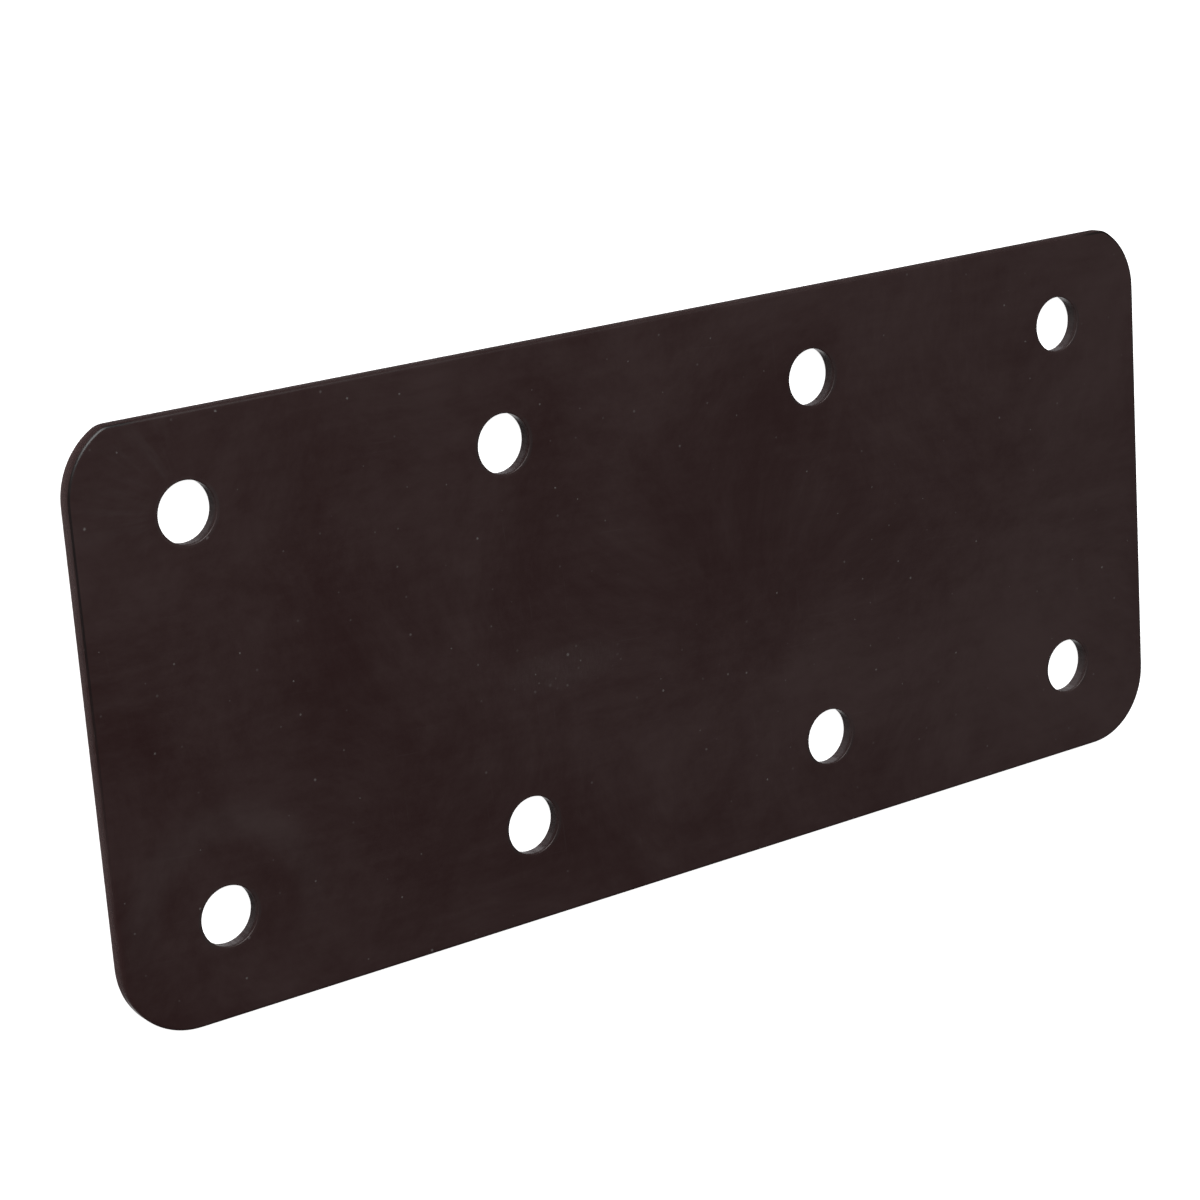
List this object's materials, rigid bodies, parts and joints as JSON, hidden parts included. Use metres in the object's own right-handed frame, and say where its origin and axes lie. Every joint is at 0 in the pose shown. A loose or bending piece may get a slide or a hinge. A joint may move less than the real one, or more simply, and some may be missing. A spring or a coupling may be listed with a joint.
{
  "type": "garden sleeper support plate",
  "caption": "Flat rounded steel plate with rows of round screw holes, coated dark brown, for joining or bracing garden sleepers.",
  "frame": {"origin": "middle of the back face, which lies on the ground plane", "axes": "+X along the plate's length, +Y across its width towards the edge that trims the corner arcs, +Z out of the front face"},
  "size_m": [0.225, 0.1, 0.003],
  "materials": {
    "brown_coat": "satin"
  },
  "bodies": {
    "root": {"support_plate": "brown_coat"}
  },
  "joints": []
}
